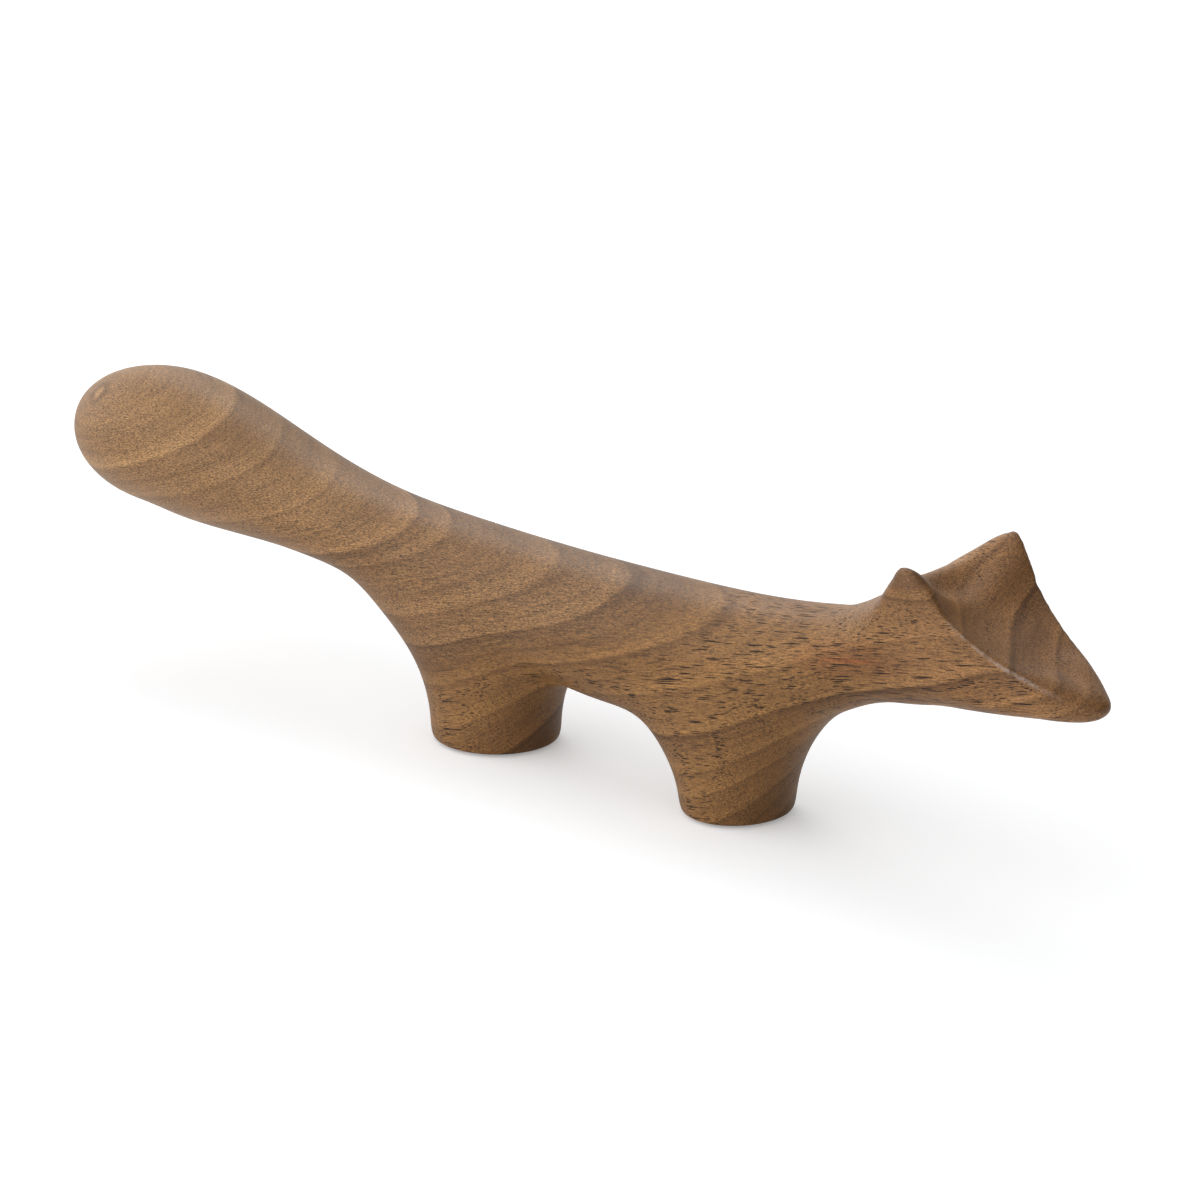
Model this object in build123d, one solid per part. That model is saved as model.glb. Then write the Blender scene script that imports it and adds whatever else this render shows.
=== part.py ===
from build123d import *
from itertools import accumulate
from math import cos, radians, sin
import os
from scipy.interpolate import CubicSpline, PchipInterpolator

# A fox carved from one block of walnut, standing on two felt pads.
# The fox faces +X, its left side is +Y, and it stands on Z = 0. Lengths are in millimetres.

# Feet: each pair of legs is carved as one round foot
foot_spacing = 50.0
hind_foot_length = 20.4
hind_foot_width = 20.0
fore_foot_length = 16.4
fore_foot_width = 18.2
foot_edge_radius = 1.0

# Felt pads, glued into shallow recesses and standing a little proud of the wood
pad_thickness = 1.2
pad_proud = 0.3
pad_clearance = 0.2
pad_margin = 2.0

# Legs: they widen upwards and sweep out fore and aft where they run into the body
sweep_height = 20.0
hind_leg_taper = 0.1
hind_leg_top_width = 19.8
hind_sweep_back = 16.4
hind_sweep_front = 11.5
hind_sweep_power = 2.8
fore_leg_taper = 0.14
fore_leg_top_width = 20.4
fore_sweep_back = 26.0
fore_sweep_front = 8.6
fore_sweep_power = 2.5

# The top of a leg, rounded off inside the body
leg_crown_rise = 4.0
leg_crown_narrowing = 0.6
leg_top_rise = 9.0
leg_top_narrowing = 5.2
leg_top_reach = 1.8

# Tail, from its root back to its tip
root_behind_hind_foot = 27.0
root_bottom = 20.9
root_depth = 15.5
root_width = 18.0
root_to_waist = 16.0
waist_bottom = 22.7
waist_depth = 17.4
waist_width = 19.4
waist_to_swell = 15.0
swell_bottom = 22.8
swell_depth = 21.9
swell_width = 21.8
swell_to_bulb = 15.0
bulb_bottom = 24.0
bulb_depth = 23.1
bulb_width = 23.2
bulb_to_tip = 20.0
tip_height = 35.4
tip_flat = 2.0
tip_power = 0.48

# Body, from the rump over the hind leg to the chest over the fore leg
rump_behind_hind_foot = 8.0
rump_bottom = 16.7
rump_depth = 18.0
rump_width = 18.8
loin_before_hind_foot = 14.0
loin_bottom = 13.1
loin_depth = 20.8
loin_width = 20.4
belly_behind_fore_foot = 14.0
belly_bottom = 11.8
belly_depth = 22.0
belly_width = 21.6
chest_before_fore_foot = 6.0
chest_bottom = 14.2
chest_depth = 20.4
chest_width = 20.4

# Neck
chest_to_collar = 12.0
collar_bottom = 19.0
collar_depth = 17.1
collar_width = 18.4
collar_to_neck = 8.0
neck_bottom = 22.9
neck_depth = 14.9
neck_width = 16.4

# Head, from the nape to the tip of the nose. A ridge on each side runs from the ear to the nose.
# Each section has its jaw height, the depth of its round underside, the depth of its side,
# how far its crown is hollowed below the ridges, and its widths at the ridges and the cheeks.
neck_to_nape = 5.0
nape_jaw = 24.4
nape_under_depth = 6.6
nape_side_depth = 9.3
nape_hollow = -1.2
nape_ridge_span = 13.6
nape_cheek_span = 16.4
nape_to_crest = 5.0
crest_jaw = 25.2
crest_under_depth = 6.8
crest_side_depth = 13.7
crest_hollow = 0.8
crest_ridge_span = 18.8
crest_cheek_span = 16.8
crest_to_ear = 5.3
ear_jaw = 26.2
ear_under_depth = 6.3
ear_side_depth = 17.0
ear_hollow = 7.2
ear_ridge_span = 24.0
ear_cheek_span = 17.0
ear_to_brow = 5.7
brow_jaw = 26.8
brow_under_depth = 5.0
brow_side_depth = 10.9
brow_hollow = 2.8
brow_ridge_span = 21.8
brow_cheek_span = 16.2
brow_to_jowl = 7.0
jowl_jaw = 27.6
jowl_under_depth = 3.4
jowl_side_depth = 6.5
jowl_hollow = 0.4
jowl_ridge_span = 17.5
jowl_cheek_span = 13.6
jowl_to_muzzle = 7.0
muzzle_jaw = 28.6
muzzle_under_depth = 2.2
muzzle_side_depth = 3.3
muzzle_hollow = -0.2
muzzle_ridge_span = 12.0
muzzle_cheek_span = 10.2
muzzle_to_nose = 4.0
nose_jaw = 29.5
nose_under_depth = 1.4
nose_side_depth = 1.2
nose_hollow = -0.5
nose_ridge_span = 6.4
nose_cheek_span = 6.2
nose_to_tip = 2.5
nose_tip_jaw = 30.5
nose_tip_under_depth = 0.6
nose_tip_side_depth = 0.4
nose_tip_hollow = -0.3
nose_tip_ridge_span = 2.4
nose_tip_cheek_span = 2.2

# How sections are drawn: where an oval's ridges lie, how sides curve, and how close sections are
ridge_angle = 50.0
side_bend = 0.6
tip_steps = 6
trunk_steps = 30
head_steps = 24
leg_steps = 6

# Places along X, with the origin under the middle of the whole length
tail_length = root_behind_hind_foot + root_to_waist + waist_to_swell + swell_to_bulb + bulb_to_tip
head_gaps = (chest_to_collar, collar_to_neck, neck_to_nape, nape_to_crest, crest_to_ear,
             ear_to_brow, brow_to_jowl, jowl_to_muzzle, muzzle_to_nose, nose_to_tip)
overall_length = tail_length + foot_spacing + chest_before_fore_foot + sum(head_gaps)
tip_x = -overall_length / 2
bulb_x = tip_x + bulb_to_tip
swell_x = bulb_x + swell_to_bulb
waist_x = swell_x + waist_to_swell
root_x = waist_x + root_to_waist
hind_x = root_x + root_behind_hind_foot
fore_x = hind_x + foot_spacing
chest_x = fore_x + chest_before_fore_foot
collar_x, neck_x, *face_xs = list(accumulate(head_gaps, initial=chest_x))[1:]
nose_x = face_xs[-1]


def section(x, jaw, under_depth, side_depth, hollow, ridge_span, cheek_span):
    """A section across the fox: a crown between two ridges, two sides and a round underside."""
    cheek = jaw + under_depth
    ridge = cheek + side_depth
    bend = cheek + side_bend * side_depth
    left_ridge = (ridge_span / 2, ridge)
    right_ridge = (-ridge_span / 2, ridge)
    crown = Spline(left_ridge, (0, ridge - hollow), right_ridge)
    right = Bezier(right_ridge, (-cheek_span / 2, bend), (-cheek_span / 2, cheek))
    under = EllipticalCenterArc((0, cheek), cheek_span / 2, under_depth, 180, arc_size=180)
    left = Bezier((cheek_span / 2, cheek), (cheek_span / 2, bend), left_ridge)
    across = Plane(origin=(x, 0, 0), x_dir=(0, 1, 0), z_dir=(1, 0, 0))
    return across * make_face([crown, right, under, left])


def oval(bottom, depth, width):
    """The values of a section that is an oval."""
    radius = depth / 2
    side_depth = radius * sin(radians(ridge_angle))
    return bottom, radius, side_depth, side_depth - radius, width * cos(radians(ridge_angle)), width


def tail_end_sections():
    """The round end of the tail: ovals that shrink from the bulb towards the tip."""
    bulb_height = bulb_bottom + bulb_depth / 2
    sections = []
    for step in range(1, tip_steps + 1):
        share = sin(radians(90 * step / tip_steps))
        width = tip_flat + (bulb_width - tip_flat) * (1 - share**2) ** tip_power
        depth = bulb_depth * width / bulb_width
        height = bulb_height + (tip_height - bulb_height) * share
        x = bulb_x + (tip_x - bulb_x) * share
        sections.append(section(x, *oval(height - depth / 2, depth, width)))
    return sections


def run_sections(guide_lines, start, end, steps):
    """Evenly spaced sections along guide lines, from start up to but without end."""
    xs = [start + (end - start) * step / steps for step in range(steps)]
    return [section(x, *guide_lines(x)) for x in xs]


def trunk_guides():
    """Guide lines of the tail, the body and the neck."""
    stations = {
        bulb_x: oval(bulb_bottom, bulb_depth, bulb_width),
        swell_x: oval(swell_bottom, swell_depth, swell_width),
        waist_x: oval(waist_bottom, waist_depth, waist_width),
        root_x: oval(root_bottom, root_depth, root_width),
        hind_x - rump_behind_hind_foot: oval(rump_bottom, rump_depth, rump_width),
        hind_x + loin_before_hind_foot: oval(loin_bottom, loin_depth, loin_width),
        fore_x - belly_behind_fore_foot: oval(belly_bottom, belly_depth, belly_width),
        chest_x: oval(chest_bottom, chest_depth, chest_width),
        collar_x: oval(collar_bottom, collar_depth, collar_width),
        neck_x: oval(neck_bottom, neck_depth, neck_width),
    }
    return CubicSpline(list(stations), list(stations.values()))


def head_guides():
    """Guide lines of the nape, the ears, the dished face and the nose."""
    guides = (
        oval(collar_bottom, collar_depth, collar_width),
        oval(neck_bottom, neck_depth, neck_width),
        (nape_jaw, nape_under_depth, nape_side_depth, nape_hollow, nape_ridge_span, nape_cheek_span),
        (crest_jaw, crest_under_depth, crest_side_depth, crest_hollow, crest_ridge_span, crest_cheek_span),
        (ear_jaw, ear_under_depth, ear_side_depth, ear_hollow, ear_ridge_span, ear_cheek_span),
        (brow_jaw, brow_under_depth, brow_side_depth, brow_hollow, brow_ridge_span, brow_cheek_span),
        (jowl_jaw, jowl_under_depth, jowl_side_depth, jowl_hollow, jowl_ridge_span, jowl_cheek_span),
        (muzzle_jaw, muzzle_under_depth, muzzle_side_depth, muzzle_hollow,
         muzzle_ridge_span, muzzle_cheek_span),
        (nose_jaw, nose_under_depth, nose_side_depth, nose_hollow, nose_ridge_span, nose_cheek_span),
        (nose_tip_jaw, nose_tip_under_depth, nose_tip_side_depth, nose_tip_hollow,
         nose_tip_ridge_span, nose_tip_cheek_span),
    )
    return PchipInterpolator([collar_x, neck_x, *face_xs], guides)


def make_trunk():
    """Tail, body, neck and head in one smooth run of sections, from the tail's tip to the nose."""
    head_lines = head_guides()
    nose_end = section(nose_x, *head_lines(nose_x))
    return loft([
        *reversed(tail_end_sections()),
        *run_sections(trunk_guides(), bulb_x, neck_x, trunk_steps),
        *run_sections(head_lines, neck_x, nose_x, head_steps),
        nose_end,
    ])


def leg_section(x, height, back, front, width):
    """A level section of a leg, which reaches further one way than the other."""
    front_half = EllipticalCenterArc((0, 0), front, width / 2, -90, arc_size=180)
    back_half = EllipticalCenterArc((0, 0), back, width / 2, 90, arc_size=180)
    return Pos(x, 0, height) * make_face([front_half, back_half])


def make_leg(x, length, width, top_width, taper, sweep_back, sweep_front, sweep_power):
    """One leg, from its flat foot up to where it is lost in the body."""
    leg_height = sweep_height - pad_proud
    sections = []
    for step in range(leg_steps + 1):
        share = step / leg_steps
        half = length / 2 + taper * leg_height * share
        back = half + sweep_back * share**sweep_power
        front = half + sweep_front * share**sweep_power
        section_width = width + (top_width - width) * share
        sections.append(leg_section(x, pad_proud + leg_height * share, back, front, section_width))
    crown = leg_section(x, sweep_height + leg_crown_rise, back, front, top_width - leg_crown_narrowing)
    top_half = length / 2 + leg_top_reach
    top = leg_section(x, sweep_height + leg_top_rise, top_half, top_half, top_width - leg_top_narrowing)
    leg = loft(sections) + loft([sections[-1], crown, top], ruled=True)
    return fillet(leg.faces().sort_by(Axis.Z)[0].edges(), foot_edge_radius)


def pad_diameter(length, width):
    """A pad leaves a rim of wood inside the rounded edge of its foot."""
    return min(length, width) - 2 * (foot_edge_radius + pad_margin)


def foot_disc(x, diameter):
    """A flat disc under a foot, as thick as a pad."""
    on_floor = (Align.CENTER, Align.CENTER, Align.MIN)
    return Pos(x, 0, 0) * Cylinder(diameter / 2, pad_thickness, align=on_floor)


hind_leg = make_leg(hind_x, hind_foot_length, hind_foot_width, hind_leg_top_width,
                    hind_leg_taper, hind_sweep_back, hind_sweep_front, hind_sweep_power)
fore_leg = make_leg(fore_x, fore_foot_length, fore_foot_width, fore_leg_top_width,
                    fore_leg_taper, fore_sweep_back, fore_sweep_front, fore_sweep_power)
hind_pad = pad_diameter(hind_foot_length, hind_foot_width)
fore_pad = pad_diameter(fore_foot_length, fore_foot_width)

carved_body = make_trunk() + hind_leg + fore_leg
carved_body = carved_body - foot_disc(hind_x, hind_pad + 2 * pad_clearance)
carved_body = carved_body - foot_disc(fore_x, fore_pad + 2 * pad_clearance)

pieces = {
    "carved_body": carved_body,
    "rear_foot_pad": foot_disc(hind_x, hind_pad),
    "front_foot_pad": foot_disc(fore_x, fore_pad),
}

os.makedirs("parts", exist_ok=True)
for name, piece in pieces.items():
    export_step(piece, f"parts/{name}.step")
    box = piece.bounding_box()
    print(name, len(piece.solids()), "solid", round(piece.volume, 1), "mm3", box.min, box.max)
print("feet at", round(hind_x, 3), round(fore_x, 3), "overall length", round(overall_length, 3))
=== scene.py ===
# %% [markdown]
# A carved walnut fox
#
# The fox is one piece of walnut, shaped by hand, sanded smooth and oiled. It stands on two felt
# pads. This lesson dresses the construction model: it loads the model as a fixed frame, gives the
# body a smooth carved skin, makes the wood and the felt, and sets a quiet studio round them.

# %% Load the construction model
from math import cos, pi, radians, sin

import bmesh
import bpy
import numpy as np
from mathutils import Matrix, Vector
from mathutils.kdtree import KDTree


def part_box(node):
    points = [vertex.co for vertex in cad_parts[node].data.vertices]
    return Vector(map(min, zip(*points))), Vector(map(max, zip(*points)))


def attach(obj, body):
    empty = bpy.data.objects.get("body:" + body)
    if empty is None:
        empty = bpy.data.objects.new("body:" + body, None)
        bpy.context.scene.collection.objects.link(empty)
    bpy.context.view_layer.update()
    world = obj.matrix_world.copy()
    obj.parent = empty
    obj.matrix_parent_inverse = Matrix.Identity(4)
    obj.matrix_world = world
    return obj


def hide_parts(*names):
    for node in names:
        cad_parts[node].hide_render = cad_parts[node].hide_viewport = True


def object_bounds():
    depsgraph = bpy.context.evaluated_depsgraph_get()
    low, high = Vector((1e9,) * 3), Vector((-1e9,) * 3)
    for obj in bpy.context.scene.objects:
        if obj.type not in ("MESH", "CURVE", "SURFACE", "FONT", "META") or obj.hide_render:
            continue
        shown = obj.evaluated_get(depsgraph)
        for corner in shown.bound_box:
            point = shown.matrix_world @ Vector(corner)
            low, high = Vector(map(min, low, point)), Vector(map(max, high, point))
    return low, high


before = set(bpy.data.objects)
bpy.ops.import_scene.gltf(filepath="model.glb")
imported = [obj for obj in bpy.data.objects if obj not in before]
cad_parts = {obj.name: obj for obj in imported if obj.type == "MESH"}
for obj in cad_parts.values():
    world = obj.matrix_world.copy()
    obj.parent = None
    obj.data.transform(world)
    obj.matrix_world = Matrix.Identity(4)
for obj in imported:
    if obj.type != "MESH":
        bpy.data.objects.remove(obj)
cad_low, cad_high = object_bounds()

MM = 0.001
scene = bpy.context.scene
print("construction model, mm:", [round(size / MM, 1) for size in cad_high - cad_low])

# %% [markdown]
# The carved skin
#
# On the real fox a rasp and sandpaper took away every hard line except the ridge round the face.
# The construction model still shows where the legs were joined to the trunk. A subdivision
# surface would need a new hand-made cage, and a sculpt can't be repeated. So the solid's mesh is
# rebuilt from small even cells, which can be sanded in code. Three modifiers do it: a sharp
# remesh closes the mesh, a displacement swells it so that the thin ears and the ridge keep their
# cells, and a voxel remesh cuts it into even cells. The swelling comes off after the sanding.

# %% Rebuild the body from small even cells
closing_depth = 9
closing_scale = 0.95
swell = 0.8 * MM
cell_size = 0.48 * MM


def with_modifiers_applied(piece):
    """A new mesh of the piece as its modifiers leave it."""
    graph = bpy.context.evaluated_depsgraph_get()
    return bpy.data.meshes.new_from_object(piece.evaluated_get(graph))


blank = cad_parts["carved_body"].data
fox = bpy.data.objects.new("walnut_fox", blank.copy())
scene.collection.objects.link(fox)
closed = fox.modifiers.new("closed", "REMESH")
closed.mode = "SHARP"
closed.octree_depth = closing_depth
closed.scale = closing_scale
closed.use_remove_disconnected = False
swollen = fox.modifiers.new("swollen", "DISPLACE")
swollen.mid_level = 0.0
swollen.strength = swell
even_cells = fox.modifiers.new("even_cells", "REMESH")
even_cells.mode = "VOXEL"
even_cells.voxel_size = cell_size
fox_mesh = with_modifiers_applied(fox)
fox.modifiers.clear()
fox.data = fox_mesh
print("carved skin:", len(fox_mesh.vertices), "points,", len(fox_mesh.polygons), "faces")

# %% [markdown]
# Where the sandpaper goes
#
# A carver leaves the ridge round the face crisp, rounds the backs of the ears, and rubs the
# hollows where the legs run into the trunk. These places could be painted on the mesh as vertex
# groups, but the paint would be lost whenever the model changes. All of them lie where faces of
# the solid meet at an angle, so they are read from the solid's own edges: outward angles on the
# head are ridges or ear backs, and inward angles on the body are hollows.

# %% Take points from the edges of the solid
point_spacing = 0.15 * MM
weld_distance = 0.005 * MM


def edge_points(mesh, wanted):
    """Closely spaced points along the wanted edges, and the outward direction at each."""
    shell = bmesh.new()
    shell.from_mesh(mesh)
    bmesh.ops.remove_doubles(shell, verts=shell.verts, dist=weld_distance)
    points, ways = [], []
    for edge in shell.edges:
        start, end = [vert.co for vert in edge.verts]
        if len(edge.link_faces) == 2 and wanted(edge.calc_face_angle_signed(0.0), (start + end) / 2):
            way = sum((face.normal for face in edge.link_faces), Vector()).normalized()
            steps = int(edge.calc_length() / point_spacing) + 1
            points += [start.lerp(end, step / steps) for step in range(steps + 1)]
            ways += [way] * (steps + 1)
    shell.free()
    return points, ways


print("edges of the solid:", len(blank.edges))

# %% Find the ridges, the ear backs and the hollows
ridge_angle = radians(28)
hollow_angle = radians(-18)
head_start = 0.6 * cad_high.x
ear_front = 0.745 * cad_high.x
foot_top = 3 * MM


def is_ridge(angle, middle):
    return angle > ridge_angle and middle.x > ear_front


def is_ear_back(angle, middle):
    return angle > ridge_angle and head_start < middle.x <= ear_front


def is_hollow(angle, middle):
    return angle < hollow_angle and middle.z > foot_top and middle.x < head_start


ridges, ridge_ways = edge_points(blank, is_ridge)
ear_backs, _ = edge_points(blank, is_ear_back)
hollows, _ = edge_points(blank, is_hollow)
print("points on ridges, ear backs and hollows:", len(ridges), len(ear_backs), len(hollows))

# %% [markdown]
# Ear tips, nose and nape
#
# The ears and the nose are blunt, and the nape runs up into the ears in one soft sweep. The ear
# tips are the highest ridge points on each side, and the nose is the last stretch of the ridge,
# so both follow the model. The sweep of the nape lies behind the ears and not along one edge of
# the solid, so its place is given as a short line across the neck.

# %% Mark the ear tips, the nose and the nape
nose_length = 6 * MM
nape_middle = Vector((65, 0, 38.5)) * MM
nape_half_width = Vector((0, 6, 0)) * MM
nape_steps = 20

ear_tips = [max(ridges, key=lambda at: at.z + side * at.y) for side in (1, -1)]
nose_start = max(at.x for at in ridges) - nose_length
noses = [at for at in ridges if at.x > nose_start]
nape_shares = [step / nape_steps for step in range(-nape_steps, nape_steps + 1)]
napes = [nape_middle + nape_half_width * share for share in nape_shares]
print("ear tip, mm:", [round(part / MM, 1) for part in ear_tips[0]], "nose points:", len(noses))

# %% [markdown]
# Sandpaper made of numbers
#
# Sandpaper takes the high spots first. Moving each point of a mesh towards the mean of its
# neighbours does the same, and more rounds stand for more time at the bench. Blender's Smooth
# modifier could do it, with a painted group for each place. Here the rubbing is written out, so
# that every point can have its own share, from 0 for untouched to 1 for full pressure.

# %% Read the points and the edges of the skin
def read_points(mesh):
    """The mesh's points as an array."""
    values = np.empty(len(mesh.vertices) * 3)
    mesh.vertices.foreach_get("co", values)
    return values.reshape(-1, 3)


def read_edges(mesh):
    """The mesh's edges as pairs of point numbers."""
    pairs = np.empty(len(mesh.edges) * 2, dtype=np.int64)
    mesh.edges.foreach_get("vertices", pairs)
    return pairs.reshape(-1, 2)


skin = read_points(fox_mesh)
skin_edges = read_edges(fox_mesh)
neighbour_count = np.bincount(skin_edges.ravel(), minlength=len(skin))
print("edges of the skin:", len(skin_edges), "neighbours of a point:", round(neighbour_count.mean(), 2))

# %% [markdown]
# Rubbing and sanding
#
# Rubbing alone shrinks a shape, as too much sandpaper does on thin wood. That is wanted in a
# hollow, which it fills to a soft round. On the rest of the body only the facets should go. So
# sanding rubs the points first, then smooths what was lost and gives that back: the broad form
# returns, and the facets don't.

# %% Rub and sand
sanding_step = 0.9


def to_neighbours(points):
    """The way from each point to the mean of its neighbours."""
    means = np.empty_like(points)
    for axis in range(3):
        values = points[:, axis]
        total = np.bincount(skin_edges[:, 0], values[skin_edges[:, 1]], len(points))
        total += np.bincount(skin_edges[:, 1], values[skin_edges[:, 0]], len(points))
        means[:, axis] = total / neighbour_count
    return means - points


def rub(points, rounds, share):
    """The points after this many steps towards their neighbours."""
    for _ in range(rounds):
        points = points + sanding_step * share * to_neighbours(points)
    return points


def sand(points, rounds, share):
    """Rubs the points down, then gives back the broad part of what was lost."""
    rubbed = rub(points, rounds, share)
    return rubbed + rub(points - rubbed, rounds, share)


def facets(points):
    """How far the points lie from the mean of their neighbours, in mm."""
    return round(float(np.abs(to_neighbours(points)).mean()) / MM, 4)


print("facets before sanding, mm:", facets(skin))

# %% [markdown]
# Shares of pressure
#
# A hand doesn't stop at a line, so each share has to fade. It is 1 at the points found above and
# falls to 0 at a reach, along the same soft step that Blender calls smoothstep. A tree of points
# makes it quick to find the nearest one.

# %% Shares that fade
def tree_of(points):
    """The points, sorted so that near ones are quick to find."""
    tree = KDTree(len(points))
    for index, point in enumerate(points):
        tree.insert(point, index)
    tree.balance()
    return tree


def ease(values):
    """A soft step from 0 to 1."""
    share = np.clip(values, 0, 1)
    return share * share * (3 - 2 * share)


def falling(points, places, reach):
    """A share of 1 at the points that falls softly to 0 at the reach."""
    tree = tree_of(points)
    return 1 - ease(np.array([tree.find(place)[2] for place in places]) / reach)[:, None]


def rising(values, blend):
    """A share that rises softly from 0 to 1 between two values."""
    return ease((values - blend[0]) / (blend[1] - blend[0]))[:, None]


print("soft step at a quarter, half and three quarters:", ease(np.array([0.25, 0.5, 0.75])))

# %% Share out the skin
hollow_reach = 7 * MM
ridge_reach = 3 * MM
ear_back_reach = 4 * MM
nose_reach = 7 * MM
nape_reach = 9 * MM
ear_tip_reach = 10 * MM
ear_reach = 14 * MM
ear_half_blend = 2 * MM
neck_blend = (58 * MM, 66 * MM)
foot_blend = (2 * MM, 6 * MM)

near_hollow = falling(hollows, skin, hollow_reach)
near_ridge = falling(ridges, skin, ridge_reach)
near_ear_back = falling(ear_backs, skin, ear_back_reach)
near_nose = falling(noses, skin, nose_reach)
near_nape = falling(napes, skin, nape_reach) * (1 - near_ridge)
near_ear_tip = falling(ear_tips, skin, ear_tip_reach)
near_ear = falling(ear_tips, skin, ear_reach)
ear_line = ear_tips[0].x
before_ear = near_ear * rising(skin[:, 0], (ear_line - ear_half_blend, ear_line + ear_half_blend))
on_head = rising(skin[:, 0], neck_blend)
off_feet = rising(skin[:, 2], foot_blend)
touched = [int((share > 0).sum()) for share in (near_hollow, near_ear, near_nose)]
print("points near hollows, ears and nose:", touched)

# %% [markdown]
# The body
#
# Legs, trunk and tail flow into each other on the real fox, and the head keeps its planes. So the
# hollows and the nape are rubbed long, the body is sanded long, and the head only briefly. The
# flat rounds under the feet get only the brief pass too, because the felt pads sit there.

# %% Rub the hollows and sand the body
hollow_rounds = 120
nape_rounds = 140
body_rounds = 110
head_rounds = 14
everywhere = 1.0

skin = rub(skin, hollow_rounds, near_hollow)
skin = rub(skin, nape_rounds, near_nape)
skin = sand(skin, body_rounds, off_feet * (1 - on_head))
skin = sand(skin, head_rounds, everywhere)
print("facets after sanding, mm:", facets(skin))

# %% [markdown]
# Back to size
#
# The skin is still swollen, so each point is drawn in along its outward direction. A displacement
# modifier would draw it in by the same amount everywhere, but the ears, the nape and the nose will
# lose wood to the rounding that follows. So some of the swelling stays there. A fullness of 0
# takes all of it off, 1 leaves it on, and more than 1 adds to it.

# %% Take the swelling off
ear_tip_fullness = 1.6
ear_fullness = 1.5
ear_back_fullness = 1.0
nape_fullness = 1.75
nose_fullness = 1.5
ridge_fullness = 0.8


def outward(mesh, points):
    """The mesh's outward directions with its points at these places."""
    mesh.vertices.foreach_set("co", points.ravel())
    mesh.update()
    values = np.empty(points.size)
    mesh.vertices.foreach_get("normal", values)
    return values.reshape(-1, 3)


fullness = np.max([
    ear_tip_fullness * near_ear_tip,
    ear_fullness * before_ear,
    ear_back_fullness * near_ear_back,
    nape_fullness * near_nape,
    nose_fullness * near_nose,
    ridge_fullness * near_ridge,
], axis=0)
skin -= swell * (1 - fullness) * outward(fox_mesh, skin)
print("swelling taken off, mean, mm:", round(float((swell * (1 - fullness)).mean()) / MM, 2))

# %% [markdown]
# Round ears and an even ridge
#
# Ears, nape and nose are rubbed round, and the ridge between them is only softened. Cells cut
# across a ridge leave small waves along it, and a carver would see them against the light. More
# rubbing would flatten the ridge, so its height is measured at each ridge point and set to the
# mean of the stretch around it. The blunt nose needs no ridge and is left out.

# %% Round the ears, the nape and the nose
ear_rounds = 48
ridge_share = 0.5

soft = np.max([near_ear ** 2, near_ear_back, near_nape, near_nose, ridge_share * near_ridge], axis=0)
skin = rub(skin, ear_rounds, soft)
print("points rubbed round:", int((soft > 0).sum()))

# %% Even the ridge
crest_reach = 1.6 * MM
crest_length = 4 * MM
crest_passes = 2
crest_rounds = 3


def crest_heights(points):
    """How far the skin stands out past each ridge point."""
    tree = tree_of(points)
    heights = []
    for place, way in zip(ridges, ridge_ways):
        around = [at - place for at, _, _ in tree.find_range(place, crest_reach)]
        heights.append(max((step.dot(way) for step in around), default=0.0))
    return np.array(heights)


def even_crest(points):
    """Takes the waves out of the ridge and keeps its height."""
    heights = crest_heights(points)
    tree = tree_of(ridges)
    stretches = [[index for _, index, _ in tree.find_range(place, crest_length)] for place in ridges]
    means = np.array([np.mean(heights[stretch]) for stretch in stretches])
    lifts = (means - heights)[:, None] * np.array(ridge_ways)
    found = [tree.find(place) for place in points]
    share = 1 - ease(np.array([far for _, _, far in found]) / crest_reach)[:, None]
    return points + share * lifts[[index for _, index, _ in found]]


for _ in range(crest_passes):
    skin += (1 - near_nose) * (even_crest(skin) - skin)
    skin = sand(skin, crest_rounds, everywhere)
print("facets on the finished skin, mm:", facets(skin))

# %% [markdown]
# Ears at full height, and a painted highlight
#
# Rounding has cost the ears some height, so they are drawn up to it again, less a little wear, and
# slightly outward. Along the brow a pale line is painted on the ridge as a highlight. A narrow
# line could be drawn in the material by its place in space, but it would have to follow the ridge
# exactly. So the share of the painted highlight is stored on the mesh as an attribute that the
# walnut reads later.

# %% Draw the ears up and outward
ear_wear = 0.25 * MM
ear_spread = 0.08

lost_height = ear_tips[0].z - ear_wear - skin[:, 2].max()
skin[:, 2:] += lost_height * near_ear
skin[:, 1:2] *= 1 + ear_spread * near_ear
print("ear tips drawn up by, mm:", round(lost_height / MM, 2))

# %% Put the points back and store the share of the painted highlight
worn_reach = 0.55 * MM
brow_blend = (84 * MM, 87.5 * MM)
nose_blend = (94 * MM, 102 * MM)

fox_mesh.vertices.foreach_set("co", skin.ravel())
fox_mesh.polygons.foreach_set("use_smooth", [True] * len(fox_mesh.polygons))
fox_mesh.update()
on_brow = rising(skin[:, 0], brow_blend) * (1 - rising(skin[:, 0], nose_blend))
# The share of the painted highlight: a pale line along the brow ridge
worn = falling(ridges, skin, worn_reach) * on_brow
fox_mesh.attributes.new("worn", "FLOAT", "POINT").data.foreach_set("value", worn.ravel())
print("sanded, mm:", np.round((skin.max(0) - skin.min(0)) / MM, 2))

# %% [markdown]
# Grain directions
#
# Wood is a solid pattern, so the figure on the surface comes from where the surface cuts it. The
# fibres run from tail to head and rise a little. The growth rings are layers that lean back and
# towards the fox's right, which gives the nested bows on the tail and the flank. A picture wrapped
# round the body would break at the ears and the legs. So every pattern is worked out in space,
# in three directions: along the fibres, across the rings, and around them.

# %% The directions of the wood
across_rings = Vector((-0.308, -0.464, 0.831)).normalized()
along_fibres = Vector((0.985, 0.0, 0.18)).normalized()
above_fibres = (across_rings - across_rings.project(along_fibres)).normalized()
fibre_directions = (along_fibres, along_fibres.cross(above_fibres), above_fibres)
ring_centre = Vector((0, 0, 25)) * MM
print("fibres run along", [round(part, 3) for part in along_fibres])

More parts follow.
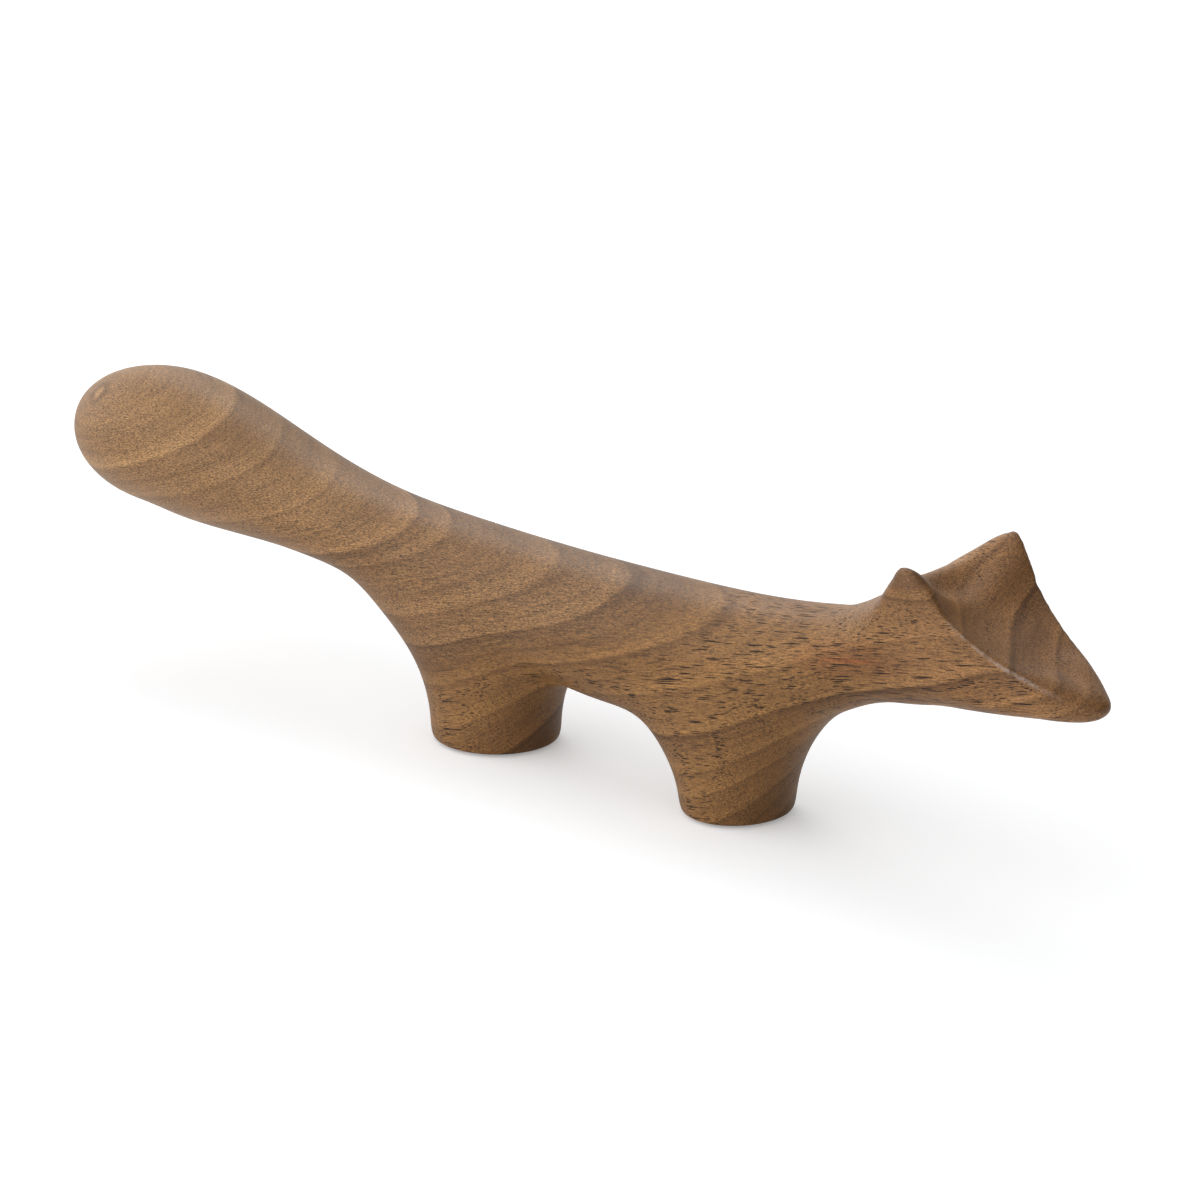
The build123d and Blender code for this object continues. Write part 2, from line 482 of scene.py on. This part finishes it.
# %% [markdown]
# A bench of nodes
#
# A material is a tree of nodes, and each pattern of the wood takes dozens of them. They could be
# joined by hand in the editor, but then the recipe couldn't be read as text. So each kind of node
# gets a short method that makes it, joins what goes in and returns what comes out. The first class
# works with numbers and places, and the second adds patterns and colours.

# %% Numbers and places
measuring_sums = ("DOT_PRODUCT", "DISTANCE", "LENGTH")


class NodeBench:
    """A material, with one method for each kind of sum on numbers and places."""

    def __init__(self, name):
        self.material = bpy.data.materials.new(name)
        self.material.use_nodes = True
        self.nodes = self.material.node_tree.nodes
        self.links = self.material.node_tree.links
        self.shader = self.nodes["Principled BSDF"]

    def join(self, value, socket):
        """Links a node's output to a socket, or sets the socket to a plain value."""
        if isinstance(value, bpy.types.NodeSocket):
            self.links.new(value, socket)
        else:
            socket.default_value = value

    def place(self):
        """Positions on the piece, in metres."""
        return self.nodes.new("ShaderNodeTexCoord").outputs["Object"]

    def vector(self, operation, *values):
        """A sum on places, which gives a number if it measures something."""
        node = self.nodes.new("ShaderNodeVectorMath")
        node.operation = operation
        for value, socket in zip(values, node.inputs):
            self.join(value, socket)
        return node.outputs["Value" if operation in measuring_sums else "Vector"]

    def number(self, operation, *values, clamp=False):
        """A sum on numbers."""
        node = self.nodes.new("ShaderNodeMath")
        node.operation = operation
        node.use_clamp = clamp
        for value, socket in zip(values, node.inputs):
            self.join(value, socket)
        return node.outputs[0]

    def combine(self, *values):
        """A place from three numbers."""
        node = self.nodes.new("ShaderNodeCombineXYZ")
        for value, socket in zip(values, node.inputs):
            self.join(value, socket)
        return node.outputs[0]

    def span(self, value, low, high, to_low=0.0, to_high=1.0, soft=True):
        """Takes low to high into to_low to to_high."""
        node = self.nodes.new("ShaderNodeMapRange")
        node.interpolation_type = "SMOOTHSTEP" if soft else "LINEAR"
        for number, socket in zip((value, low, high, to_low, to_high), node.inputs):
            self.join(number, socket)
        return node.outputs[0]


print("sums on the bench:", [name for name in vars(NodeBench) if not name.startswith("_")])

# %% Patterns and colours
class Finish(NodeBench):
    """A bench that also makes patterns, mixes colours and raises relief."""

    def noise(self, vector, detail=2.0, roughness=0.5):
        node = self.nodes.new("ShaderNodeTexNoise")
        self.join(vector, node.inputs["Vector"])
        node.inputs["Scale"].default_value = 1.0
        node.inputs["Detail"].default_value = detail
        node.inputs["Roughness"].default_value = roughness
        return node.outputs["Fac"]

    def cells(self, vector):
        """Distance to scattered points, and a chance number for each point."""
        node = self.nodes.new("ShaderNodeTexVoronoi")
        self.join(vector, node.inputs["Vector"])
        node.inputs["Scale"].default_value = 1.0
        chance = self.nodes.new("ShaderNodeSeparateColor")
        self.links.new(node.outputs["Color"], chance.inputs[0])
        return node.outputs["Distance"], chance.outputs[0]

    def curve(self, value, points):
        """A line through the points, from 0 to 1."""
        node = self.nodes.new("ShaderNodeFloatCurve")
        line = node.mapping.curves[0]
        line.points[0].location, line.points[1].location = points[0], points[-1]
        for place in points[1:-1]:
            line.points.new(*place)
        for point in line.points:
            point.handle_type = "VECTOR"
        node.mapping.update()
        self.join(value, node.inputs["Value"])
        return node.outputs[0]

    def mix(self, share, first, second, blend="MIX"):
        node = self.nodes.new("ShaderNodeMix")
        node.data_type = "RGBA"
        node.blend_type = blend
        self.join(share, node.inputs["Factor"])
        self.join(first, node.inputs["A"])
        self.join(second, node.inputs["B"])
        return node.outputs["Result"]

    def bump(self, height, distance, strength=1.0):
        node = self.nodes.new("ShaderNodeBump")
        node.inputs["Strength"].default_value = strength
        node.inputs["Distance"].default_value = distance
        self.join(height, node.inputs["Height"])
        return node.outputs[0]


print("patterns on the bench:", [name for name in vars(Finish) if not name.startswith("_")])

# %% [markdown]
# Growth rings
#
# Each year's wood starts dark and open and ends in a pale line, so along the way across the
# rings the tone climbs slowly and drops at each edge. The rings are a short list: where the edge
# is, how dark the new year starts and how pale the old one ends. A wave texture would give equal
# rings, and these are as uneven as a real tree's.

# %% The rings, from the tail's end to the feet
# Edge in mm across the rings, then the tones of the pale line before it, the dark start after it
# and the ring's body below
growth_rings = (
    (37.9, 0.86, 0.30, 0.40),
    (31.8, 0.58, 0.32, 0.42),
    (25.2, 0.72, 0.40, 0.52),
    (17.3, 0.90, 0.22, 0.44),
    (14.7, 0.76, 0.18, 0.48),
    (7.1, 0.78, 0.24, 0.44),
    (2.4, 0.64, 0.06, 0.27),
    (-3.1, 0.64, 0.22, 0.48),
    (-9.2, 0.80, 0.34, 0.48),
    (-15.8, 0.74, 0.04, 0.34),
    (-20.8, 0.78, 0.28, 0.50),
    (-24.2, 0.72, 0.32, 0.50),
    (-28.3, 0.74, 0.32, 0.50),
    (-33.4, 0.72, 0.32, 0.50),
)
print("rings:", len(growth_rings))

# %% The tone across the rings
ring_span = (-40.0, 55.0)
heart_tone = 0.50
edge_half_width = 0.12
dark_width = 1.2
pale_width = 2.6
largest_share = 0.45


def ring_points():
    """The tone from the lowest edge up, as points from 0 to 1."""
    edges = [ring[0] for ring in growth_rings]
    above = [ring_span[1]] + edges[:-1]
    below = edges[1:] + [ring_span[0]]
    bodies = [heart_tone] + [ring[3] for ring in growth_rings[:-1]]
    places = []
    for (edge, line, start, body), up, down, body_above in zip(growth_rings, above, below, bodies):
        places += [
            (edge + min(pale_width, largest_share * (up - edge)), body_above),
            (edge + edge_half_width, line),
            (edge - edge_half_width, start),
            (edge - min(dark_width, largest_share * (edge - down)), body),
        ]
    low, high = ring_span
    places = [(high, heart_tone), *places, (low, growth_rings[-1][3])]
    return [((place - low) / (high - low), tone) for place, tone in reversed(places)]


print("points on the tone curve:", len(ring_points()))

# %% [markdown]
# Places in the wood
#
# Blender's noise is as long as it is wide, and wood isn't. Places are therefore measured from the
# middle of the fox along the three directions and divided by a length for each: a long one along
# the fibres and short ones across. The same noise then comes out as fibres, clouds or slow waves.
# The rings of a real tree wander, so two such noises push the ring edges to and fro.

# %% Stretch places along the fibres
def places_along(finish, directions):
    """Millimetres from the ring centre along each direction."""
    from_centre = finish.vector("SUBTRACT", finish.place(), ring_centre)
    return [finish.vector("DOT_PRODUCT", from_centre, direction / MM) for direction in directions]


def stretched(finish, places, lengths):
    """Places measured in units of these lengths, in mm."""
    shares = [finish.number("DIVIDE", place, length) for place, length in zip(places, lengths)]
    return finish.combine(*shares)


def sway(finish, noise, amount):
    """A noise spread evenly to both sides of zero."""
    return finish.number("MULTIPLY_ADD", noise, amount, -amount / 2)


print("middle of the wood, mm:", [round(part / MM, 1) for part in ring_centre])

# %% Let the rings wander
# Lengths of the noise in mm, its detail, and how far it pushes the rings, in mm
ring_wanders = (
    ((60, 16, 16), 1.0, 0.9),
    ((5, 0.8, 0.8), 2.0, 0.5),
)


def ring_place(finish, fibres):
    """Millimetres across the rings, which wander as a tree's do."""
    (across,) = places_along(finish, [across_rings])
    for lengths, detail, amount in ring_wanders:
        noise = finish.noise(stretched(finish, fibres, lengths), detail)
        across = finish.number("ADD", across, sway(finish, noise, amount))
    return across


print("rings wander by, mm:", [amount for _, _, amount in ring_wanders])

# %% [markdown]
# Tone and pin knot
#
# How pale the wood is follows the rings, with thin lines beside the edges and broad clouds over
# them. On the tail's end sits a pin knot, the start of a twig: a pale dot in a dark ring. It could
# be a decal, but a decal needs a picture. The distance from its middle does as well with few nodes.

# %% A pin knot on the tail
pin_knot = Vector((-95.2, -7.3, 42.7)) * MM
pin_dot_edge = (0.5 * MM, 1.2 * MM)
pin_ring_inside = (1.0 * MM, 1.7 * MM)
pin_ring_outside = (1.7 * MM, 3.0 * MM)
pin_dot_tone = 0.45
pin_ring_tone = -0.25


def pin_knot_tone(finish):
    """A pale dot in a dark ring on the end of the tail."""
    far = finish.vector("DISTANCE", finish.place(), pin_knot)
    dot = finish.span(far, *pin_dot_edge, pin_dot_tone, 0.0)
    inside, outside = finish.span(far, *pin_ring_inside), finish.span(far, *pin_ring_outside)
    ring = finish.number("SUBTRACT", inside, outside)
    return finish.number("MULTIPLY_ADD", ring, pin_ring_tone, dot)


print("pin knot at, mm:", [round(part / MM, 1) for part in pin_knot])

# %% The tone of the walnut
line_lengths = (30, 7, 0.4)
line_amount = 0.6
cloud_lengths = (26, 7, 7)
cloud_amount = 0.4


def walnut_tone(finish, fibres, across):
    """How pale the wood is, from 0 to 1."""
    tone = finish.curve(finish.span(across, *ring_span, soft=False), ring_points())
    lines = finish.noise(stretched(finish, (*fibres[:2], across), line_lengths))
    clouds = finish.noise(stretched(finish, fibres, cloud_lengths))
    for noise, amount in ((lines, line_amount), (clouds, cloud_amount)):
        tone = finish.number("ADD", tone, sway(finish, noise, amount))
    return finish.number("ADD", tone, pin_knot_tone(finish), clamp=True)


print("lines and clouds change the tone by:", line_amount / 2, cloud_amount / 2)

# %% [markdown]
# Fibres and pores
#
# Close up, walnut is a weave of short light and dark ticks, with longer threads on the flank.
# Pores are open tubes along the fibres, so they show as dark dashes where the surface runs with
# the grain and as dots where it cuts across. A noise makes soft spots with no clear ends. So the
# pores are scattered points in a space that is stretched along the fibres: each point's distance
# gives a dash, and its chance number gives the dash a size and a depth, or leaves it out.

# %% Fine ticks and threads
tick_lengths = (0.5, 0.13, 0.13)
tick_amount = 2.9
chest_ticks = 0.6
thread_lengths = (3.0, 0.16, 0.16)
thread_amount = 1.5
tail_threads = 0.2
plain_detail = 1.0


def walnut_grain(finish, fibres, flank, chest):
    """Fine light and dark ticks round 1, with longer threads from the flank to the head."""
    ticks = sway(finish, finish.noise(stretched(finish, fibres, tick_lengths), plain_detail), tick_amount)
    ticks = finish.number("MULTIPLY", ticks, finish.span(chest, 0.0, 1.0, 1.0, chest_ticks))
    threads = finish.noise(stretched(finish, fibres, thread_lengths), plain_detail)
    threads = sway(finish, threads, thread_amount)
    threads = finish.number("MULTIPLY", threads, finish.span(flank, 0.0, 1.0, tail_threads, 1.0))
    return finish.number("ADD", finish.number("ADD", ticks, threads), 1.0)


print("ticks and threads, mm long:", tick_lengths[0], thread_lengths[0])

# %% Pores
# Lengths in mm, share of places without a pore, least and most size, least and most depth
fine_pores = ((1.0, 0.18, 0.18), 0.0, (0.10, 0.50), (0.05, 0.50))
short_dashes = ((4.0, 0.22, 0.22), 0.18, (0.02, 0.52), (0.70, 1.00))
long_dashes = ((8.0, 0.30, 0.30), 0.5, (0.02, 0.52), (0.80, 1.00))
pore_core = 0.6


def pores(finish, fibres, lengths, missing, sizes, depths):
    """Dark dashes: how deep the pore is at each place."""
    distance, chance = finish.cells(stretched(finish, fibres, lengths))
    size = finish.span(chance, missing, 1.0, *sizes, soft=False)
    dash = finish.span(distance, finish.number("MULTIPLY", size, pore_core), size, 1.0, 0.0)
    return finish.number("MULTIPLY", dash, finish.span(chance, 0.0, 1.0, *depths, soft=False))


def walnut_pores(finish, fibres, coarse):
    """Fine pores everywhere, and coarse dashes on the chest and the head."""
    fine, short, long = [
        pores(finish, fibres, *kind) for kind in (fine_pores, short_dashes, long_dashes)
    ]
    dashes = finish.number("MULTIPLY", finish.number("MAXIMUM", short, long), coarse)
    return finish.number("MAXIMUM", fine, dashes)


print("coarse dashes, mm apart:", short_dashes[0][0], long_dashes[0][0])

# %% [markdown]
# End grain with painted shade, neck streak and painted ridge highlight
#
# Where the surface cuts across the fibres the open tubes drink more oil, so the wood is darker
# there: on the face, the fronts of the feet and the tail's end. The darkening is made strong enough
# to also paint the shade on the fronts of the legs, which face away from the light, so it is partly
# real end grain and partly painted shade. Painting those places would be slow, and the angle between
# surface and fibres finds them all. A reddish streak lies on the right side of the neck in a darker
# cloud, as two ovals of different size. The painted ridge highlight reads the attribute that the
# sanding left, broken up by a noise so that it isn't even.

# %% Marks on the wood
neck_streak = Vector((65.0, -8.2, 31.6)) * MM
streak_core = 0.3
# The painted ridge highlight is broken up by a noise of these lengths, within these limits
highlight_break_lengths = (1.2, 0.5, 0.5)
highlight_breaks = (0.32, 0.58)
highlight_range = (0.2, 0.9)


def end_grain(finish):
    """1 where the surface cuts straight across the fibres, 0 where it runs along them."""
    normal = finish.nodes.new("ShaderNodeNewGeometry").outputs["Normal"]
    square = finish.vector("DOT_PRODUCT", normal, along_fibres)
    return finish.number("MULTIPLY", square, square)


def round_streak(finish, fibres, half_size):
    """1 at the streak on the right side of the neck, 0 outside an oval round it."""
    middle = [(neck_streak - ring_centre).dot(direction) / MM for direction in fibre_directions]
    away = [finish.number("SUBTRACT", place, start) for place, start in zip(fibres, middle)]
    far = finish.vector("LENGTH", stretched(finish, away, half_size))
    return finish.span(far, streak_core, 1.0, 1.0, 0.0)


def worn_ridge(finish, fibres):
    """Painted highlight: a pale broken line along the ridge, where its edge catches the light."""
    node = finish.nodes.new("ShaderNodeAttribute")
    node.attribute_name = "worn"
    breaks = finish.noise(stretched(finish, fibres, highlight_break_lengths))
    return finish.number("MULTIPLY", node.outputs["Fac"], finish.span(breaks, *highlight_breaks, *highlight_range))


# Points that carry the painted ridge highlight
print("points with wear:", int((worn > 0).sum()))

# %% [markdown]
# Oiled walnut
#
# Oiled walnut is a warm brown, greyer and finer towards the tail and yellower at the chest. The
# tail's colours are also made paler to paint the stronger light on the tail's side, so they are
# partly wood and partly painted light. One colour ramp would make it the same all over. So there
# is a dark and a pale colour for each of the three zones, which lie across the rings as sapwood and
# heartwood do, and the tone picks between them. The marks then multiply the colour, and the pores
# and the painted ridge highlight cover it.

# %% Colours of the walnut
# The tail's colours are paler partly as painted light from the tail's side
lit_tail_dark = (0.158, 0.076, 0.029, 1)
lit_tail_pale = (0.530, 0.292, 0.121, 1)
flank_dark = (0.126, 0.059, 0.021, 1)
flank_pale = (0.405, 0.213, 0.084, 1)
chest_dark = (0.126, 0.054, 0.0148, 1)
chest_pale = (0.430, 0.213, 0.068, 1)
pore_colour = (0.026, 0.011, 0.004, 1)
# Pale colour painted along the ridge as a highlight
worn_colour = (0.58, 0.47, 0.41, 1)
head_shift = (1.06, 1.06, 1.22, 1)
# Darker end grain, made strong enough to also paint the shade on the fronts of the legs
end_grain_and_shade_shift = (0.58, 0.54, 0.47, 1)
blush_shift = (0.88, 0.78, 0.72, 1)
streak_shift = (1.22, 0.93, 0.78, 1)
print("palest wood, red to blue:", lit_tail_pale[:3])

# %% Zones and marks
# Where the tail's colour turns to the flank's and the flank's to the chest's, in mm across the rings
flank_edge = (34.0, 16.0)
chest_edge = (3.5, -2.5)
# Where the head's colour starts, in mm along the fibres
head_edge = (64.0, 80.0)
# Half lengths of the darker cloud and of the streak in it, in mm
blush_half_size = (14.0, 6.0, 4.0)
streak_half_size = (7.5, 1.6, 0.45)


def zone_colour(finish, tone, flank, chest):
    """The colour between each zone's dark and pale wood."""
    dark = finish.mix(chest, finish.mix(flank, lit_tail_dark, flank_dark), chest_dark)
    pale = finish.mix(chest, finish.mix(flank, lit_tail_pale, flank_pale), chest_pale)
    return finish.mix(tone, dark, pale)


def marked(finish, colour, fibres, grain):
    """The colour with the grain, the head, the end grain with its painted shade and the neck streak on
    it.
    """
    shifts = (
        (1.0, grain),
        (finish.span(fibres[0], *head_edge), head_shift),
        # End grain darkening, partly painted shade on the legs' fronts
        (end_grain(finish), end_grain_and_shade_shift),
        (round_streak(finish, fibres, blush_half_size), blush_shift),
        (round_streak(finish, fibres, streak_half_size), streak_shift),
    )
    for share, shift in shifts:
        colour = finish.mix(share, colour, shift, "MULTIPLY")
    return colour


print("flank starts and ends, mm across the rings:", flank_edge[1], chest_edge[0])

# %% [markdown]
# Oil and relief
#
# Hand-rubbed oil leaves a satin gloss that is duller in the pores. Clear coat would look like
# varnish, so only the roughness and the specular level are set. Pores and fibres can be felt with
# a fingertip, but they are finer than the cells of the mesh, so a bump node tilts the light.

# %% Oil and relief on the shader
oil_gloss = 0.35
oil_roughness = (0.40, 0.48)
grain_range = (0.5, 1.5)
pore_dullness = 0.25
grain_height = 0.15
relief_depth = 0.05 * MM
relief_strength = 0.6


def oil_and_relief(finish, grain, dashes):
    """Satin oil over fibres and pores that can be felt."""
    satin = finish.span(grain, *grain_range, *oil_roughness)
    rough = finish.number("MULTIPLY_ADD", dashes, pore_dullness, satin)
    finish.join(rough, finish.shader.inputs["Roughness"])
    height = finish.number("MULTIPLY_ADD", grain, grain_height, finish.number("MULTIPLY", dashes, -1.0))
    finish.join(finish.bump(height, relief_depth, relief_strength), finish.shader.inputs["Normal"])
    finish.shader.inputs["Specular IOR Level"].default_value = oil_gloss


print("roughness of the oil:", oil_roughness)

# %% Make the walnut
# Where coarse dashes start, in mm across the rings, and how they fade towards end grain
coarse_edge = (-1.5, -5.0)
dash_fade = (0.03, 0.2)
end_grain_dashes = 0.6


def make_walnut():
    finish = Finish("oiled_walnut")
    fibres = places_along(finish, fibre_directions)
    across = ring_place(finish, fibres)
    flank = finish.span(across, *flank_edge)
    chest = finish.span(across, *chest_edge)
    grain = walnut_grain(finish, fibres, flank, chest)
    colour = zone_colour(finish, walnut_tone(finish, fibres, across), flank, chest)
    colour = marked(finish, colour, fibres, grain)
    along = finish.span(end_grain(finish), *dash_fade, 1.0, end_grain_dashes)
    coarse = finish.number("MULTIPLY", finish.span(across, *coarse_edge), along)
    dashes = walnut_pores(finish, fibres, coarse)
    colour = finish.mix(dashes, colour, pore_colour)
    # Paint the pale highlight along the ridge
    colour = finish.mix(worn_ridge(finish, fibres), colour, worn_colour)
    finish.join(colour, finish.shader.inputs["Base Color"])
    oil_and_relief(finish, grain, dashes)
    return finish.material


walnut = make_walnut()
fox_mesh.materials.clear()
fox_mesh.materials.append(walnut)
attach(fox, "root")
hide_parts("carved_body")
print("walnut:", len(walnut.node_tree.nodes), "nodes")

# %% [markdown]
# Felt pads
#
# Under each foot a disc of dark felt sits in a shallow recess and stands a little proud, so that
# the wood doesn't scratch the shelf. Felt is cut with a punch: the top edge is drawn down and the
# cut edge is soft and slightly uneven. A plain cylinder would show a machined rim. So the disc is
# turned from a rounded profile, and its rim is shifted by a few waves.

# %% The profile of a felt disc
pad_softness = 0.22 * MM
underside_shares = (0.35, 0.7, 0.9, 1.0)
rim_turns = (pi / 8, pi / 4, 3 * pi / 8, pi / 2)
waist_share = 0.6
crown_share = 0.5


def felt_profile(radius, height):
    """Radius and height from the middle of the underside to the middle of the top."""
    flat = radius - pad_softness
    underside = [(share * flat, 0.0) for share in underside_shares]
    rim = [(flat + pad_softness * sin(turn), pad_softness * (1 - cos(turn))) for turn in rim_turns]
    side = [(radius, height * waist_share), (radius, height - pad_softness)]
    top = [(flat, height), (radius * crown_share, height)]
    return underside + rim + side + top


print("soft edge of a pad, mm:", pad_softness / MM)

# %% Turn a felt disc
pad_points = 120
pad_wave = 0.05 * MM
rim_power = 4
# Waves round the rim, and the share of each
pad_waves = ((7, 0.6), (17, 0.4))


def wavy_ring(disc, middle, height, reach, radius):
    """A ring of points, wavy where it is near the rim."""
    ring = []
    for step in range(pad_points):
        turn = 2 * pi * step / pad_points
        wave = sum(share * sin(count * turn) for count, share in pad_waves)
        far = reach + pad_wave * (reach / radius) ** rim_power * wave
        ring.append(disc.verts.new((middle.x + far * cos(turn), middle.y + far * sin(turn), height)))
    return ring


def turn_disc(name, low, high):
    """A felt disc that fills the box."""
    middle = (low + high) / 2
    radius = (high.x - low.x) / 2 - pad_wave
    disc = bmesh.new()
    profile = felt_profile(radius, high.z - low.z)
    rings = [wavy_ring(disc, middle, low.z + height, reach, radius) for reach, height in profile]
    for lower, upper in zip(rings, rings[1:]):
        for step in range(pad_points):
            after = (step + 1) % pad_points
            disc.faces.new((lower[step], lower[after], upper[after], upper[step]))
    disc.faces.new(list(reversed(rings[0])))
    disc.faces.new(rings[-1])
    mesh = bpy.data.meshes.new(name)
    disc.to_mesh(mesh)
    disc.free()
    mesh.polygons.foreach_set("use_smooth", [True] * len(mesh.polygons))
    return mesh


print("points round a pad:", pad_points)

# %% Seat the pads
def make_felt_pad(name, node):
    """A felt disc in the place of a pad of the construction model."""
    pad = bpy.data.objects.new(name, turn_disc(name, *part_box(node)))
    scene.collection.objects.link(pad)
    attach(pad, "root")
    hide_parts(node)
    return pad


pads = [
    make_felt_pad("rear_felt_pad", "rear_foot_pad"),
    make_felt_pad("front_felt_pad", "front_foot_pad"),
]
print("pads:", [len(pad.data.polygons) for pad in pads], "faces")

# %% [markdown]
# Felt
#
# Pressed wool has no weave: short hairs lie every way, with lighter and darker flecks. Hairs could
# be grown as particles, but under a foot nobody would see them. Two noises of different sizes give
# the flecks and the nap, and a little sheen gives the soft rim of light.

# %% Make the felt
felt_dark = (0.020, 0.014, 0.011, 1)
felt_light = (0.060, 0.044, 0.034, 1)
flecks_per_metre = Vector((2200, 2200, 2200))
hairs_per_metre = Vector((6000, 6000, 6000))
fleck_detail = 3.0
fleck_roughness = 0.7
noise_range = (0.3, 0.7)
felt_roughness = (0.85, 1.0)
nap_depth = 0.08 * MM
felt_sheen = 0.3
sheen_roughness = 0.6


def make_felt():
    finish = Finish("felt")
    place = finish.place()
    flecks = finish.vector("MULTIPLY", place, flecks_per_metre)
    flecks = finish.noise(flecks, fleck_detail, fleck_roughness)
    nap = finish.noise(finish.vector("MULTIPLY", place, hairs_per_metre))
    colour = finish.mix(finish.span(flecks, *noise_range), felt_dark, felt_light)
    finish.join(colour, finish.shader.inputs["Base Color"])
    finish.join(finish.span(nap, *noise_range, *felt_roughness), finish.shader.inputs["Roughness"])
    finish.join(finish.bump(nap, nap_depth), finish.shader.inputs["Normal"])
    finish.shader.inputs["Sheen Weight"].default_value = felt_sheen
    finish.shader.inputs["Sheen Roughness"].default_value = sheen_roughness
    return finish.material


felt = make_felt()
for pad in pads:
    pad.data.materials.append(felt)
print("felt:", len(felt.node_tree.nodes), "nodes")

# %% [markdown]
# The floor
#
# The fox stands on plain pale paper that runs out of sight. It only has to take the soft shadows
# of the feet and the body, so one large face is enough. A little glow that only the camera sees
# lifts the paper to white without throwing more light on the wood.

# %% Lay the floor
floor_size = 6.0
floor_colour = (0.915, 0.93, 0.945, 1)
floor_roughness = 0.9
floor_lift = 0.30
white = (1, 1, 1, 1)


def make_paper():
    finish = Finish("pale_paper")
    finish.shader.inputs["Base Color"].default_value = floor_colour
    finish.shader.inputs["Roughness"].default_value = floor_roughness
    finish.shader.inputs["Specular IOR Level"].default_value = 0.0
    finish.shader.inputs["Emission Color"].default_value = white
    seen = finish.nodes.new("ShaderNodeLightPath").outputs["Is Camera Ray"]
    lift = finish.number("MULTIPLY", seen, floor_lift)
    finish.join(lift, finish.shader.inputs["Emission Strength"])
    return finish.material


def make_floor():
    mesh = bpy.data.meshes.new("floor")
    half = floor_size / 2
    corners = [(-half, -half, 0), (half, -half, 0), (half, half, 0), (-half, half, 0)]
    mesh.from_pydata(corners, [], [(0, 1, 2, 3)])
    mesh.materials.append(make_paper())
    floor = bpy.data.objects.new("floor", mesh)
    floor.location.z = cad_low.z
    scene.collection.objects.link(floor)
    return floor


floor = make_floor()
print("floor:", floor_size, "m wide")

# %% [markdown]
# The light
#
# Broad soft light comes from the tail's side, and a soft box stands behind the fox on the same
# side. The sky could be a picture of a studio, but a plain change from dim to bright along one
# direction is enough and stays easy to set. The soft box draws the bright line along the back and
# the soft shadow to the front right. To the camera the sky is plain white.

# %% Hang the sky
bright_side = Vector((-0.80, -0.50, 0.0)).normalized()
sky_levels = (0.02, 1.60)
sky_white = 1.0


def make_sky():
    """White all round to the camera, and as light brighter from the tail's side."""
    world = bpy.data.worlds.new("studio")
    scene.world = world
    world.use_nodes = True
    nodes, links = world.node_tree.nodes, world.node_tree.links
    background = nodes["Background"]
    background.inputs["Color"].default_value = white
    towards = nodes.new("ShaderNodeVectorMath")
    towards.operation = "DOT_PRODUCT"
    towards.inputs[1].default_value = bright_side
    links.new(nodes.new("ShaderNodeTexCoord").outputs["Generated"], towards.inputs[0])
    level = nodes.new("ShaderNodeMapRange")
    for number, socket in zip((-1.0, 1.0, *sky_levels), level.inputs[1:5]):
        socket.default_value = number
    links.new(towards.outputs["Value"], level.inputs[0])
    strength = nodes.new("ShaderNodeMix")
    strength.inputs["B"].default_value = sky_white
    links.new(level.outputs[0], strength.inputs["A"])
    links.new(nodes.new("ShaderNodeLightPath").outputs["Is Camera Ray"], strength.inputs["Factor"])
    links.new(strength.outputs["Result"], background.inputs["Strength"])


make_sky()
scene.view_settings.view_transform = "Standard"
print("sky, dim to bright:", sky_levels)

# %% Place the soft box
key_place = Vector((-0.345, 0.28, 0.505))
key_size = 0.30
key_power = 0.60


def make_soft_box(name, place, size, power):
    """A square lamp that faces the fox."""
    data = bpy.data.lights.new(name, "AREA")
    data.size = size
    data.energy = power
    light = bpy.data.objects.new(name, data)
    light.location = place
    light.rotation_mode = "QUATERNION"
    light.rotation_quaternion = (-place).to_track_quat("-Z", "Y")
    scene.collection.objects.link(light)


make_soft_box("key", key_place, key_size, key_power)
print("soft box:", key_size, "m wide,", round(key_place.length, 2), "m away")

# %% [markdown]
# The camera
#
# A long lens at the front right, a little above the fox, shows its right side, both feet and the
# face. The camera could be aimed with a constraint, but its direction is known as two angles, so
# it is turned by them directly.

# %% Set up the camera
camera_place = Vector((0.47385, -0.51071, 0.24284))
camera_azimuth = radians(42.26)
camera_height = radians(17.35)
camera_lens = 142.2
camera_sensor = 36.0

camera_data = bpy.data.cameras.new("camera")
camera_data.lens = camera_lens
camera_data.sensor_width = camera_sensor
camera = bpy.data.objects.new("camera", camera_data)
scene.collection.objects.link(camera)
towards_camera = Vector((
    sin(camera_azimuth) * cos(camera_height),
    -cos(camera_azimuth) * cos(camera_height),
    sin(camera_height),
))
camera.location = camera_place
camera.rotation_mode = "QUATERNION"
camera.rotation_quaternion = (-towards_camera).to_track_quat("-Z", "Y")
scene.camera = camera
print("camera:", [round(part, 3) for part in camera_place])

# %% [markdown]
# Sizes
#
# Dressing the model must not change how big it is.
